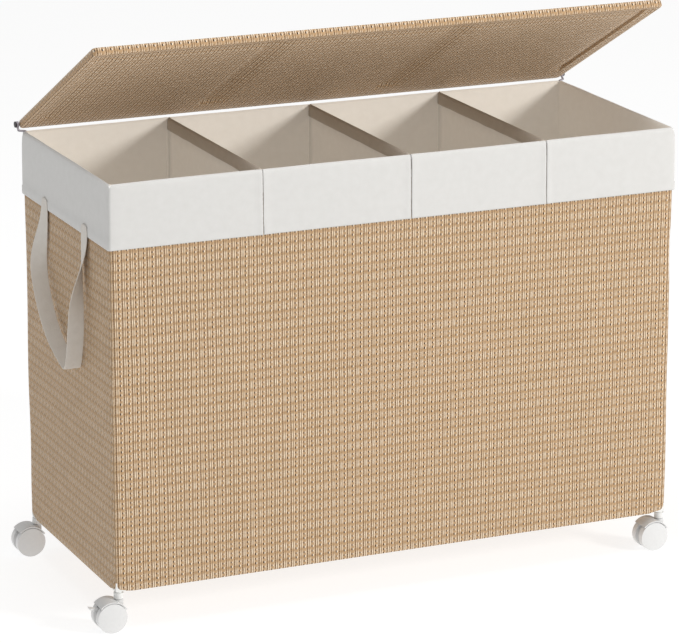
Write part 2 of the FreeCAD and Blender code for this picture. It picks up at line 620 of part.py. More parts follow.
def brakeLever(name, cy, axleX, pivot):
    """A shank on the pivot between the wheels, with a pad for the toe behind the hood."""
    tip = ("-leverReach - leverPivotX", "leverRise - leverPivotZ")
    shank = padded(name + "LeverShank", [
        ("leverEye/2", "leverEye - leverTaper"), ("-leverEye/2", "leverEye - leverTaper"), (tip[0], tip[1]),
        (f"{tip[0]} + leverThick/3", f"{tip[1]} - leverThick"), ("-leverEye", "-leverEye/2"),
        ("leverEye/2", "leverTaper - leverEye")],
        "2*leverHalf", (pivot[0], cy, pivot[1]), role="XZ_Plane", midplane=True)
    pad = padded(name + "LeverPad", [
        (f"{tip[0]} + 2*leverThick", f"{tip[1]} - leverThick/3"), (tip[0], tip[1]),
        (f"{tip[0]} + leverThick/3", f"{tip[1]} - leverThick"),
        (f"{tip[0]} + 2*leverThick", f"{tip[1]} - 4*leverThick/3")],
        "2*leverPadHalf", (pivot[0], cy, pivot[1]), role="XZ_Plane", midplane=True)
    eye = rod(name + "LeverEye", "leverEye", "2*leverHalf", (pivot[0], f"{cy} - leverHalf", pivot[1]), "Y")
    hole = rod(name + "LeverHole", "leverPin + runningFit", "4*leverHalf",
               (pivot[0], f"{cy} - 2*leverHalf", pivot[1]), "Y")
    return cut(name + "Lever", fuse(name + "LeverSolid", [shank, pad, eye]), [hole])


stems = []
washers = []
for corner, (sideX, sideY) in corners.items():
    caster(corner, sideX, sideY)
    stemAxis = (signed(sideX, stemX), signed(sideY, stemY))
    stems.append(rod(f"Stem_{corner}", "stemRadius", "stemTop - stemBottom", (*stemAxis, "stemBottom")))
    ring = rod(f"Washer_{corner}Ring", "washerRadius", "washerThick",
               (*stemAxis, "casterHeight - collarHeight - washerThick - layerGap/3"))
    bore = rod(f"Washer_{corner}Bore", "stemRadius", "casterHeight", (*stemAxis, "layerGap"))
    washers.append(cut(f"Washer_{corner}", ring, [bore]))
subPart("caster_stems", group("CasterStems", stems))
subPart("caster_washers", group("CasterWashers", washers))

document.recompute()
faults = [f"{thing.Name}: {', '.join(thing.State)}" for thing in document.Objects
          if {"Invalid", "Error"} & set(thing.State)]
for node, thing in subParts.items():
    if thing.Shape.isNull() or not thing.Shape.isValid() or not thing.Shape.Solids:
        faults.append(f"{node}: bad shape")
if faults:
    raise RuntimeError("; ".join(faults))

os.makedirs("parts", exist_ok=True)
for node, thing in subParts.items():
    thing.Shape.exportStep(f"parts/{node}.step")
print(f"{len(subParts)} sub-parts written")
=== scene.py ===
import math

import bmesh
import bpy
from mathutils import Matrix, Vector, noise


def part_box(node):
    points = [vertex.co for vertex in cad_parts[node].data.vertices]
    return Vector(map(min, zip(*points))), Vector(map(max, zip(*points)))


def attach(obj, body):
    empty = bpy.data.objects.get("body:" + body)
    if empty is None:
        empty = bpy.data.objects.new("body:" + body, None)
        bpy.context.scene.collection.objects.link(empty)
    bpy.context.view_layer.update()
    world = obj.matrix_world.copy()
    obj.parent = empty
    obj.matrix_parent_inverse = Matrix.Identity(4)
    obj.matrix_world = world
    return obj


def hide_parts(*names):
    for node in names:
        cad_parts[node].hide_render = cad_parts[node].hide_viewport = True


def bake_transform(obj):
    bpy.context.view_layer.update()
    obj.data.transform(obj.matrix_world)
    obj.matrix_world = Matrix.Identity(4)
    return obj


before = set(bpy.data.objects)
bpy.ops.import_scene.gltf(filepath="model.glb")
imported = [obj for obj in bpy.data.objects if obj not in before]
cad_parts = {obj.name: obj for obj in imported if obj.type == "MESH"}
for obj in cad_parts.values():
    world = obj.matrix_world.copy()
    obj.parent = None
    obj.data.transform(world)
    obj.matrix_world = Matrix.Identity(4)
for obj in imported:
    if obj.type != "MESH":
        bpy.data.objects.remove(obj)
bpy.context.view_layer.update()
scene = bpy.context.scene
print("frame loaded")

# camera and lights: places in metres, angles in degrees, power in watts
cameraSet = {"place": (-1.975, -4.464, 1.738), "pitch": 15.95, "yaw": 23.71, "lens": 189.2, "clipEnd": 100}
lightSet = {
    "keyAim": (0.72, -0.85, 0.42), "keyTarget": (0, 0, 0.35), "keyDistance": 6.0, "keySize": 1.1,
    "keyPower": 200, "keyColour": "#fffdfa",
    "topPlace": (-0.3, -0.1, 2.4), "topTarget": (0, -0.02, 0.4), "topSize": 1.0, "topPower": 16,
    "topColour": "#ffffff", "world": 0.44, "worldColour": "#ffffff",
    "floorSize": 30, "floorGlow": 0.78, "floorGlowColour": "#ffffff",
}


def linear(code):
    parts = [int(code[i:i + 2], 16) / 255 for i in (1, 3, 5)]
    return [p / 12.92 if p <= 0.04045 else ((p + 0.055) / 1.055) ** 2.4 for p in parts] + [1.0]


def aimedLight(name, place, target, size, power, colour):
    data = bpy.data.lights.new(name, "AREA")
    data.size, data.energy, data.color = size, power, linear(colour)[:3]
    lamp = bpy.data.objects.new(name, data)
    scene.collection.objects.link(lamp)
    lamp.location = place
    lamp.visible_camera = False
    lamp.rotation_euler = (Vector(target) - Vector(place)).to_track_quat("-Z", "Y").to_euler()


camera = bpy.data.objects.new("camera", bpy.data.cameras.new("camera"))
scene.collection.objects.link(camera)
camera.location = cameraSet["place"]
camera.rotation_euler = (math.radians(90 - cameraSet["pitch"]), 0, math.radians(-cameraSet["yaw"]))
camera.data.lens = cameraSet["lens"]
camera.data.clip_end = cameraSet["clipEnd"]
scene.camera = camera
scene.view_settings.view_transform = "Standard"

keyTarget = Vector(lightSet["keyTarget"])
keyPlace = keyTarget + Vector(lightSet["keyAim"]).normalized() * lightSet["keyDistance"]
aimedLight("keyLight", keyPlace, keyTarget, lightSet["keySize"], lightSet["keyPower"], lightSet["keyColour"])
aimedLight("topLight", lightSet["topPlace"], lightSet["topTarget"], lightSet["topSize"], lightSet["topPower"],
           lightSet["topColour"])
world = bpy.data.worlds.new("studio")
scene.world = world
world.use_nodes = True
sky = world.node_tree.nodes["Background"]
sky.inputs["Color"].default_value = linear(lightSet["worldColour"])
sky.inputs["Strength"].default_value = lightSet["world"]
print("camera and lights set")


# materials
def add(tree, kind, settings=None, links=None):  # one node with its settings and what feeds it
    node = tree.nodes.new(kind)
    for key, value in (settings or {}).items():
        if isinstance(key, int) or key in node.inputs:
            node.inputs[key].default_value = value
        else:
            setattr(node, key, value)
    for key, source in (links or {}).items():
        tree.links.new(source.outputs[0] if isinstance(source, bpy.types.Node) else source, node.inputs[key])
    return node


def newMaterial(name, settings):
    material = bpy.data.materials.new(name)
    material.use_nodes = True
    tree = material.node_tree
    shader = tree.nodes["Principled BSDF"]
    for key, value in settings.items():
        shader.inputs[key].default_value = value
    return material, tree, shader


# woven paper cord: tan cords with a pale straw painted highlight on the raised cords and knots, and painted shade in
# the pinholes where they cross, which read as dotted columns
weaveSet = {
    "columnMm": 12.1, "rowMm": 13.3, "tan": "#c3a17b", "tanDeep": "#b28f65", "strawHighlight": "#f8e7cf", "hole": "#3c2410",
    "roughness": 0.72, "sheen": 0.08, "wander": 0.0014, "driftScale": 34.0, "patchScale": 260.0, "level": 0.95,
    "bumpStrength": 0.8, "bumpDepth": 0.0007, "markTop": 0.7, "markEnd": 1.6,
}
# marks in a repeat: (middle, half width, channel, height)
weaveMarks = {
    # painted highlight channels: 0 single cords, 1 paired floats, 2 knots beside the pinholes
    "lightAcross": [(0.36, 0.05, 0, 0.8), (0.66, 0.055, 1, 1.0), (0.88, 0.05, 1, 1.0), (0.19, 0.07, 2, 1.0)],
    "lightAlong": [(0.25, 0.15, 0, 1.0), (0.75, 0.15, 0, 0.8), (0.25, 0.155, 1, 1.0), (0.75, 0.13, 1, 0.8)],
    # painted shade channels: 0 pinholes, 1 beaded seam, 2 gap between paired floats
    "darkAcross": [(0.055, 0.08, 0, 1.3), (0.48, 0.055, 1, 1.1), (0.77, 0.05, 2, 0.8)],
    "darkAlong": [(0.12, 0.1, 0, 1.0), (0.6, 0.08, 0, 0.8), (0.1, 0.06, 1, 0.9), (0.35, 0.06, 1, 0.7),
                  (0.6, 0.06, 1, 0.9), (0.85, 0.06, 1, 0.7)],
}


def addMarks(tree, marks, source):
    # a colour ramp that is 0 everywhere except at the marks
    top, end = weaveSet["markTop"], weaveSet["markEnd"]
    places = {round(min(max(middle + share * wide, 0), 1), 4)
              for middle, wide, _, _ in marks for share in (-end, -top, top, end)}
    ramp = add(tree, "ShaderNodeValToRGB", {}, {"Fac": source})
    places = sorted(places | {0.0, 1.0})
    while len(ramp.color_ramp.elements) < len(places):
        ramp.color_ramp.elements.new(0.5)
    for element, place in zip(ramp.color_ramp.elements, places):
        colour = [0.0, 0.0, 0.0]
        for middle, wide, channel, height in marks:
            level = min(1.0, max(0.0, (end - abs(place - middle) / wide) / (end - top)))
            colour[channel] = max(colour[channel], height * level)
        element.position, element.color = place, (*colour, 1.0)
    return ramp


def weaveMaterial():
    material, tree, shader = newMaterial("wovenPaperCord", {
        "Roughness": weaveSet["roughness"], "IOR": 1.45, "Sheen Weight": weaveSet["sheen"]})
    uv = add(tree, "ShaderNodeUVMap", {"uv_map": "cloth"})
    slow = add(tree, "ShaderNodeTexNoise", {"Scale": weaveSet["driftScale"], "Detail": 2.0}, {"Vector": uv})
    drift = add(tree, "ShaderNodeVectorMath", {"operation": "MULTIPLY_ADD", 1: (weaveSet["wander"],) * 3},
                {0: slow.outputs["Color"], 2: uv})
    parts = add(tree, "ShaderNodeSeparateXYZ", {}, {0: drift})
    across, along = (add(tree, "ShaderNodeMath", {"operation": "MULTIPLY", 1: 1000 / weaveSet[size]},
                         {0: parts.outputs[n]}) for n, size in enumerate(("columnMm", "rowMm")))
    half = add(tree, "ShaderNodeMath", {"operation": "MULTIPLY", 1: 0.5}, {0: along})
    column, row, pair = (add(tree, "ShaderNodeMath", {"operation": "FRACT"}, {0: source})
                         for source in (across, along, half))
    sources = {"lightAcross": column, "lightAlong": pair, "darkAcross": column, "darkAlong": row}
    ramps = {name: addMarks(tree, weaveMarks[name], source) for name, source in sources.items()}
    cordHighlights = add(tree, "ShaderNodeVectorMath", {"operation": "MULTIPLY"},
                {0: ramps["lightAcross"], 1: ramps["lightAlong"]})
    holes = add(tree, "ShaderNodeVectorMath", {"operation": "MULTIPLY"},
                {0: ramps["darkAcross"], 1: ramps["darkAlong"]})
    # each mask is a weighted sum of the channels
    cordHighlightMask, holeMask, seamShade, knotColumn, knotRow = (
        add(tree, "ShaderNodeVectorMath", {"operation": "DOT_PRODUCT", 1: weights}, {0: source}).outputs["Value"]
        for weights, source in (((0.75, 1.0, 0.0), cordHighlights), ((1.0, 0.55, 0.0), holes),
                                ((0.12, 0.4, 0.5), ramps["darkAcross"]), ((0, 0, 1), ramps["lightAcross"]),
                                ((1, 0, 0), ramps["darkAlong"])))
    knotHighlight = add(tree, "ShaderNodeMath", {"operation": "MULTIPLY"}, {0: knotColumn, 1: knotRow})
    patch = add(tree, "ShaderNodeTexNoise", {"Scale": weaveSet["patchScale"], "Detail": 3.0}, {"Vector": uv})
    uneven = add(tree, "ShaderNodeMapRange", {"From Min": 0.3, "From Max": 0.7, "To Min": 0.45, "To Max": 1.15},
                 {"Value": patch.outputs["Fac"]})
    # painted highlight on the raised cords and knots, painted shade in the pinholes, seams and gaps; their difference
    # is also the bump height
    paintedHighlight = add(tree, "ShaderNodeMath", {"operation": "MULTIPLY_ADD"}, {0: cordHighlightMask, 1: uneven, 2: knotHighlight})
    paintedShade = add(tree, "ShaderNodeMath", {"operation": "MULTIPLY_ADD"}, {0: holeMask, 1: uneven, 2: seamShade})
    highlightLevel, shadeLevel = (
        add(tree, "ShaderNodeMath", {"operation": "MULTIPLY", 1: weaveSet["level"], "use_clamp": True}, {0: source})
        for source in (paintedHighlight, paintedShade))
    ground = add(tree, "ShaderNodeMix",
                 {"data_type": "RGBA", 6: linear(weaveSet["tan"]), 7: linear(weaveSet["tanDeep"])},
                 {0: slow.outputs["Fac"]})
    # the tan ground is lightened by the painted highlight, then darkened by the painted shade
    lit = add(tree, "ShaderNodeMix", {"data_type": "RGBA", 7: linear(weaveSet["strawHighlight"])},
              {0: highlightLevel, 6: ground.outputs[2]})
    colour = add(tree, "ShaderNodeMix", {"data_type": "RGBA", 7: linear(weaveSet["hole"])},
                 {0: shadeLevel, 6: lit.outputs[2]})
    height = add(tree, "ShaderNodeMath", {"operation": "SUBTRACT"}, {0: paintedHighlight, 1: paintedShade})
    relief = add(tree, "ShaderNodeBump", {"Strength": weaveSet["bumpStrength"], "Distance": weaveSet["bumpDepth"]},
                 {"Height": height})
    tree.links.new(colour.outputs[2], shader.inputs["Base Color"])
    tree.links.new(relief.outputs[0], shader.inputs["Normal"])
    return material


# plain-woven cloths: even threads, soft and slightly mottled. Their threads are drawn coarser than real so they show
# liner and cuff are one cloth: the pocket inside is painted lighter, a painted light, and the cuff outside darker, a
# painted shade
clothSet = {
    "liner": "#e9e4dc", "linerDeep": "#e0dad1", "cuffShaded": "#d8d7d5", "cuffShadedDeep": "#d0cfcc",
    "hemShaded": "#c0b5a8", "hemShadedDeep": "#b4a99b", "webbing": "#ded9d2", "webbingDeep": "#cfc9c0",
    "threadMm": 1.1, "webbingThreadMm": 1.8, "bump": 0.0002, "webbingBump": 0.0004, "bumpStrength": 0.5,
    # through: strength of the pocket cloth's glow, painted light
    "roughness": 0.85, "sheen": 0.15, "slubScale": 90.0, "through": 0.13,
}


def clothMaterial(name, tone, threadMm, bump):
    material, tree, shader = newMaterial(name, {
        "Roughness": clothSet["roughness"], "IOR": 1.45, "Sheen Weight": clothSet["sheen"]})
    uv = add(tree, "ShaderNodeUVMap", {"uv_map": "cloth"})
    parts = add(tree, "ShaderNodeSeparateXYZ", {}, {0: uv})
    turns = [add(tree, "ShaderNodeMath", {"operation": "MULTIPLY", 1: 2000 * math.pi / threadMm},
                 {0: parts.outputs[n]}) for n in (0, 1)]
    waves = [add(tree, "ShaderNodeMath", {"operation": "SINE"}, {0: turn}) for turn in turns]
    threads = add(tree, "ShaderNodeMath", {"operation": "MULTIPLY"}, {0: waves[0], 1: waves[1]})
    slub = add(tree, "ShaderNodeTexNoise", {"Scale": clothSet["slubScale"], "Detail": 4.0}, {"Vector": uv})
    height = add(tree, "ShaderNodeMath", {"operation": "MULTIPLY_ADD", 1: 0.5}, {0: threads, 2: slub.outputs["Fac"]})
    colour = add(tree, "ShaderNodeMix",
                 {"data_type": "RGBA", 6: linear(clothSet[tone]), 7: linear(clothSet[tone + "Deep"])},
                 {0: slub.outputs["Fac"]})
    relief = add(tree, "ShaderNodeBump", {"Strength": clothSet["bumpStrength"], "Distance": bump}, {"Height": height})
    tree.links.new(colour.outputs[2], shader.inputs["Base Color"])
    tree.links.new(relief.outputs[0], shader.inputs["Normal"])
    return material


# hard surfaces, whose tone and gloss vary a little as moulding or drawing leaves them
hardSet = {"ior": 1.46, "glossSpread": 0.06, "bumpStrength": 0.15, "bumpDepth": 0.0002}


def hardMaterial(name, light, deep, scale, roughness, metallic=0.0):
    material, tree, shader = newMaterial(name, {"Metallic": metallic, "IOR": hardSet["ior"]})
    place = add(tree, "ShaderNodeTexCoord")
    grain = add(tree, "ShaderNodeTexNoise", {"Scale": scale, "Detail": 4.0}, {"Vector": place.outputs["Object"]})
    tone = grain.outputs["Fac"]
    colour = add(tree, "ShaderNodeMix", {"data_type": "RGBA", 6: linear(light), 7: linear(deep)}, {0: tone})
    spread = hardSet["glossSpread"]
    gloss = add(tree, "ShaderNodeMapRange", {"To Min": roughness - spread, "To Max": roughness + spread},
                {"Value": tone})
    relief = add(tree, "ShaderNodeBump", {"Strength": hardSet["bumpStrength"], "Distance": hardSet["bumpDepth"]},
                 {"Height": tone})
    tree.links.new(colour.outputs[2], shader.inputs["Base Color"])
    tree.links.new(gloss.outputs[0], shader.inputs["Roughness"])
    tree.links.new(relief.outputs[0], shader.inputs["Normal"])
    return material


weave = weaveMaterial()
glowingLitLinerCloth = clothMaterial("polyesterLinerLitGlowing", "liner", clothSet["threadMm"], clothSet["bump"])
shadedCuffCloth = clothMaterial("polyesterCuffShaded", "cuffShaded", clothSet["threadMm"], clothSet["bump"])
# the hem over each divider is the pocket cloth painted a darker taupe: painted shade
shadedHemCloth = clothMaterial("polyesterHemShaded", "hemShaded", clothSet["threadMm"], clothSet["bump"])
webbing = clothMaterial("cottonWebbing", "webbing", clothSet["webbingThreadMm"], clothSet["webbingBump"])
plastic = hardMaterial("mouldedPolypropylene", "#dededd", "#d6d6d6", 300.0, 0.38)  # satin white
tyrePlastic = hardMaterial("mouldedNylon", "#e2e2e1", "#dadada", 240.0, 0.3)  # glossier white
joint = hardMaterial("mouldedAbs", "#eeeeec", "#e4e4e2", 260.0, 0.42)  # bright white
frameSteel = hardMaterial("powderCoatedSteel", "#dcdad8", "#cfcccb", 500.0, 0.45)  # fine, even paint
hingeSteel = hardMaterial("greyEnamelledWire", "#a9a4ab", "#948f97", 700.0, 0.4)  # grey with a touch of lilac
pinSteel = hardMaterial("blackenedSteel", "#4a4548", "#3a3639", 900.0, 0.45, metallic=0.7)  # dark, dull glint
zincSteel = hardMaterial("zincPlatedSteel", "#c9c9c8", "#b5b5b6", 800.0, 0.32, metallic=0.9)  # soft bright metal
board = hardMaterial("hardboard", "#9b7450", "#84603f", 120.0, 0.7)  # flat brown
floorPaint = hardMaterial("mattPaint", "#9a9a9a", "#969696", 3.0, 0.9)
# liner: the pocket cloth glows, painted light that stands in for light let through a single layer. Floor: its glow
# keeps the backdrop white
for material, colour, strength in ((glowingLitLinerCloth, clothSet["linerDeep"], clothSet["through"]),
                                   (floorPaint, lightSet["floorGlowColour"], lightSet["floorGlow"])):
    shader = material.node_tree.nodes["Principled BSDF"]
    shader.inputs["Emission Color"].default_value = linear(colour)
    shader.inputs["Emission Strength"].default_value = strength
print("materials made")


# mesh helpers
def pickNew(made, kind):
    return [item for item in made["geom"] if isinstance(item, kind)]


def roundedLoop(bm, halfX, halfY, z, corner, step):
    # a closed loop with rounded corners, its sides cut into short edges
    made = bmesh.ops.create_grid(bm, x_segments=1, y_segments=1, size=1)["verts"]
    bmesh.ops.scale(bm, vec=(halfX, halfY, 1), verts=made)
    bmesh.ops.translate(bm, vec=(0, 0, z), verts=made)
    bmesh.ops.bevel(bm, geom=made, offset=corner, offset_type="OFFSET", segments=4, profile=0.5,
                    affect="VERTICES", material=-1)
    bmesh.ops.delete(bm, geom=bm.faces[:], context="FACES_ONLY")
    for limit in (halfX, halfY):
        sides = [e for e in bm.edges if abs(e.calc_length() - 2 * (limit - corner)) < 1e-5]
        bmesh.ops.subdivide_edges(bm, edges=sides, cuts=max(1, round(2 * limit / step)))
    return bm.edges[:]


def loft(bm, loop, stations):
    # carries copies of the loop through (half x, half y, z) stations
    for was, now in zip(stations, stations[1:]):
        made = bmesh.ops.extrude_edge_only(bm, edges=loop)
        ring = pickNew(made, bmesh.types.BMVert)
        inRing = set(ring)
        loop = [e for e in pickNew(made, bmesh.types.BMEdge) if inRing.issuperset(e.verts)]
        bmesh.ops.scale(bm, vec=(now[0] / was[0], now[1] / was[1], 1), verts=ring)
        bmesh.ops.translate(bm, vec=(0, 0, now[2] - was[2]), verts=ring)
    return loop


def climb(low, high, step):
    # even stations from one to another
    count = max(1, round(abs(high[2] - low[2]) / step))
    return [tuple(a + (b - a) * n / count for a, b in zip(low, high)) for n in range(count + 1)]


def chain(bm, points):
    verts = [bmesh.ops.create_vert(bm, co=p)["vert"][0] for p in points]
    return [bm.edges.new(pair) for pair in zip(verts, verts[1:])]


def run(bm, edges, length, steps, axis):
    # sweeps a chain of edges in a straight line along one axis
    step = [length / steps if n == axis else 0 for n in range(3)]
    bmesh.ops.spin(bm, geom=edges, angle=0, steps=steps, dvec=step, axis=(0, 0, 1), cent=(0, 0, 0))


def clamp(value):
    return min(1.0, max(0.0, value))


def softStep(a, b, value):
    share = clamp((value - a) / (b - a))
    return share * share * (3 - 2 * share)


def cutPlane(bm, place, direction, dist=1e-5, **clear):
    geom = bm.verts[:] + bm.edges[:] + bm.faces[:]
    bmesh.ops.bisect_plane(bm, geom=geom, plane_co=place, plane_no=direction, dist=dist, **clear)


def ripple(bm, height, waveLength, seed, keep):
    # slack in the cloth: every point moves a little along its normal, as much as keep allows
    bm.normal_update()
    for v in bm.verts:
        shift = noise.noise(v.co / waveLength + Vector((seed, 0, 0))) * height * keep(v.co)
        v.co += v.normal * shift


def mapCloth(bm):
    # lays the pattern flat on each face from the side that it faces, in metres
    layer = bm.loops.layers.uv.new("cloth")
    bm.normal_update()
    for face in bm.faces:
        flat = max(range(3), key=lambda n: abs(face.normal[n]))
        for corner in face.loops:
            co = corner.vert.co
            corner[layer].uv = ((co.y, co.z), (co.x, co.z), (co.x, co.y))[flat]


def outwards(bm, dist=1e-5):
    bmesh.ops.remove_doubles(bm, verts=bm.verts[:], dist=dist)
    bmesh.ops.recalc_face_normals(bm, faces=bm.faces[:])


def makePiece(name, bm, materials, body, standsFor=(), solid=0.0, offset=-1.0, level=0, bend=None,
              sharp=50):
    mesh = bpy.data.meshes.new(name)
    bm.to_mesh(mesh)
    bm.free()
    for polygon in mesh.polygons:
        polygon.use_smooth = True
    mesh.set_sharp_from_angle(angle=math.radians(sharp))
    for material in materials:
        mesh.materials.append(material)
    piece = bpy.data.objects.new(name, mesh)
    scene.collection.objects.link(piece)
    if solid:
        thick = piece.modifiers.new("thickness", "SOLIDIFY")
        thick.thickness, thick.offset = solid, offset
    if level:
        smooth = piece.modifiers.new("smooth", "SUBSURF")
        smooth.levels = smooth.render_levels = level
    if bend:
        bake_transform(piece)
    else:
        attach(piece, body)
    if standsFor:
        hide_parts(*standsFor)
    return piece


# floor
bm = bmesh.new()
bmesh.ops.create_grid(bm, x_segments=4, y_segments=4, size=lightSet["floorSize"])
floorMesh = bpy.data.meshes.new("floor")
bm.to_mesh(floorMesh)
bm.free()
floorMesh.materials.append(floorPaint)
floor = bpy.data.objects.new("floor", floorMesh)
scene.collection.objects.link(floor)
print("floor laid")

# woven outer bag, slack between the cuff and the floor, its lower corners cut away over the caster joints
bagSet = {
    "corner": 0.006, "step": 0.02, "cloth": 0.0012, "inset": 0.0008, "underCuff": 0.03,
    "slack": 0.0016, "slackWave": 0.13, "slackSeed": 3.0, "slackTop": 0.56, "slackTopFade": 0.1, "slackFootFade": 0.06,
    "notch": 0.016, "notchHeight": 0.007, "notchReach": 0.01,
    "foot": ((0.0, 0.004), (0.001, 0.001), (0.004, 0.0008)),  # inset and height of the turn into the bottom
}
bagLow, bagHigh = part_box("outer_bag")
halfX, halfY = bagHigh.x - bagSet["inset"], bagHigh.y - bagSet["inset"]
bagTop = bagHigh.z - bagSet["underCuff"]
bm = bmesh.new()
loop = roundedLoop(bm, halfX, halfY, bagTop, bagSet["corner"], bagSet["step"])
foot = [(halfX - inset, halfY - inset, bagLow.z + height) for inset, height in bagSet["foot"]]
loop = loft(bm, loop, climb((halfX, halfY, bagTop), foot[0], bagSet["step"]) + foot[1:])
for v in bm.verts:
    reach = max(halfX - abs(v.co.x), 0) + max(halfY - abs(v.co.y), 0)
    if v.co.z < bagLow.z + bagSet["notchReach"] and reach < bagSet["notch"]:
        v.co.z += bagSet["notchHeight"] * (1 - reach / bagSet["notch"])
bmesh.ops.triangle_fill(bm, edges=loop, use_beauty=True)
outwards(bm)


def bagSlack(p):
    return (clamp((bagSet["slackTop"] - p.z) / bagSet["slackTopFade"])
            * min(1, (p.z - bagLow.z) / bagSet["slackFootFade"]))


ripple(bm, bagSet["slack"], bagSet["slackWave"], bagSet["slackSeed"], bagSlack)
mapCloth(bm)
wovenBag = makePiece("wovenBag", bm, [weave], "cabinet", ["outer_bag"], solid=bagSet["cloth"])
print("bag made")

# cloth liners: pocket, rolled rim, and the cuff folded down outside
linerSet = {
    "corner": 0.0045, "step": 0.014, "slit": 0.0011, "cloth": 0.0008, "dividers": (-0.204, 0.0145, 0.2205),
    "wall": 0.0107, "wallStart": 0.05, "wallStep": 0.035, "dividerGap": 0.0026, "dividerTop": 0.004,
    "dividerStep": 0.03, "crispCuts": (0.012, 0.005, 0.002, 0.0), "overFloor": 0.001,
    "slack": 0.0012, "slackWave": 0.07, "slackTop": 0.012, "slackFade": 0.05, "cuffSlack": 0.5, "cuffReach": 0.004,
    "puff": 0.0008, "puffAt": 0.0025, "puffWide": 0.006, "slitWander": 0.00036, "slitWave": 30, "slitReach": 0.004,
    "cuffCut": 0.1, "floorShare": 0.65, "clothReach": 0.005,
}
# distance in from the cuff's outer face, and height below the rim
rimProfile = [
    (0.0002, 0.0890), (0.0000, 0.0870), (0.0000, 0.0780), (0.0007, 0.0765), (0.0007, 0.060), (0.0008, 0.045),
    (0.0009, 0.030), (0.0011, 0.018), (0.0015, 0.010), (0.0022, 0.0045), (0.0034, 0.0013), (0.0050, 0.0002),
    (0.0066, 0.0013), (0.0077, 0.0045), (0.0084, 0.010), (0.0097, 0.020), (0.0105, 0.032),
]
linerLow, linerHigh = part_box("liner_1")
rimZ = linerHigh.z
outX, outY = abs(linerLow.x), abs(linerLow.y)
inX, inY = outX - linerSet["wall"], outY - linerSet["wall"]
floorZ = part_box("base_board")[1].z + linerSet["overFloor"]


def linerRing():
    # the whole rim as one ring, which each liner is then cut from
    bm = bmesh.new()
    stations = [(outX - inset, outY - inset, rimZ - drop) for inset, drop in rimProfile]
    stations += climb((inX, inY, rimZ - linerSet["wallStart"]), (inX, inY, floorZ), linerSet["wallStep"])
    loop = roundedLoop(bm, *stations[0], linerSet["corner"], linerSet["step"])
    loft(bm, loop, stations)
    return bm


def cutAt(bm, x, keepRight):
    # cuts close beside the slit keep the cloth's edge crisp, and the last one removes what is past it
    sign = 1 if keepRight else -1
    for inside in linerSet["crispCuts"]:
        cutPlane(bm, (x + sign * inside, 0, 0), (1, 0, 0), 1e-6,
              clear_inner=keepRight and inside == 0.0, clear_outer=not keepRight and inside == 0.0)


def linerSlack(p):
    if abs(p.x) > inX + linerSet["cuffReach"] or abs(p.y) > inY + linerSet["cuffReach"]:
        return linerSet["cuffSlack"]
    return clamp((rimZ - linerSet["slackTop"] - p.z) / linerSet["slackFade"])


linerEnds = [None, *linerSet["dividers"], None]
for number, (left, right) in enumerate(zip(linerEnds, linerEnds[1:]), start=1):
    bm = linerRing()
    wallLeft, wallRight, panels = -inX, inX, []
    if left is not None:
        cutAt(bm, left + linerSet["slit"] / 2, True)
        wallLeft = left + linerSet["dividerGap"]
        panels.append(wallLeft)
    if right is not None:
        cutAt(bm, right - linerSet["slit"] / 2, False)
        wallRight = right - linerSet["dividerGap"]
        panels.append(wallRight)
    for x in panels:
        heights = climb((0, 0, rimZ - linerSet["dividerTop"]), (0, 0, floorZ), linerSet["dividerStep"])
        run(bm, chain(bm, [(x, -inY, z) for _, _, z in heights]), 2 * inY, 24, 1)
    floorLine = [(wallLeft + (wallRight - wallLeft) * n / 12, -inY, floorZ) for n in range(13)]
    run(bm, chain(bm, floorLine), 2 * inY, 20, 1)
    outwards(bm, 2e-5)
    ripple(bm, linerSet["slack"], linerSet["slackWave"], 10.0 * number, linerSlack)
    for v in bm.verts:  # the turned edge beside each slit stands a little proud and isn't quite straight
        if abs(v.co.y) > inY + linerSet["cuffReach"]:
            near = min(abs(v.co.x - d) for d in linerSet["dividers"])
            push = linerSet["puff"] * max(0.0, 1 - abs(near - linerSet["puffAt"]) / linerSet["puffWide"])
            v.co.y += math.copysign(push, v.co.y)
            if near < linerSet["slitReach"]:
                wave = noise.noise(Vector((v.co.z * linerSet["slitWave"], number, 0)))
                v.co.x += linerSet["slitWander"] * wave
    for face in bm.faces:  # one cloth: cuff outside painted darker as painted shade, pocket inside painted lighter and glowing as painted light
        spot = face.calc_center_median()
        reach = linerSet["clothReach"]
        face.material_index = int(abs(spot.x) < outX - reach and abs(spot.y) < outY - reach)
    mapCloth(bm)
    makePiece(f"liner{number}", bm, [shadedCuffCloth, glowingLitLinerCloth], "cabinet", [f"liner_{number}"],
              solid=linerSet["cloth"], offset=0.0)
print("liners made")

# hem of each liner turned over its divider rod, and the liner's corner seam at the rod's back end
hemSet = {
    "cloth": 0.0008, "past": 0.003, "slack": 0.0007, "slackWave": 0.03, "slackSeed": 50.0, "slackTop": 0.005,
    "slackFade": 0.01, "seamRadius": 0.0011, "seamLeft": 0.0052, "seamIn": 0.0016, "seamTop": 0.018,
    # distance right of the rod, and height below the rim
    "profile": ((0.0034, 0.022), (0.0031, 0.012), (0.0029, 0.0045), (0.0021, 0.0013), (0, 0.0001),
                (-0.0021, 0.0013), (-0.0030, 0.0045), (-0.0036, 0.011), (-0.0039, 0.016), (-0.0036, 0.0164)),
}
hemEnd = inY + hemSet["past"]


def hemSlack(p):
    return clamp((rimZ - hemSet["slackTop"] - p.z) / hemSet["slackFade"])


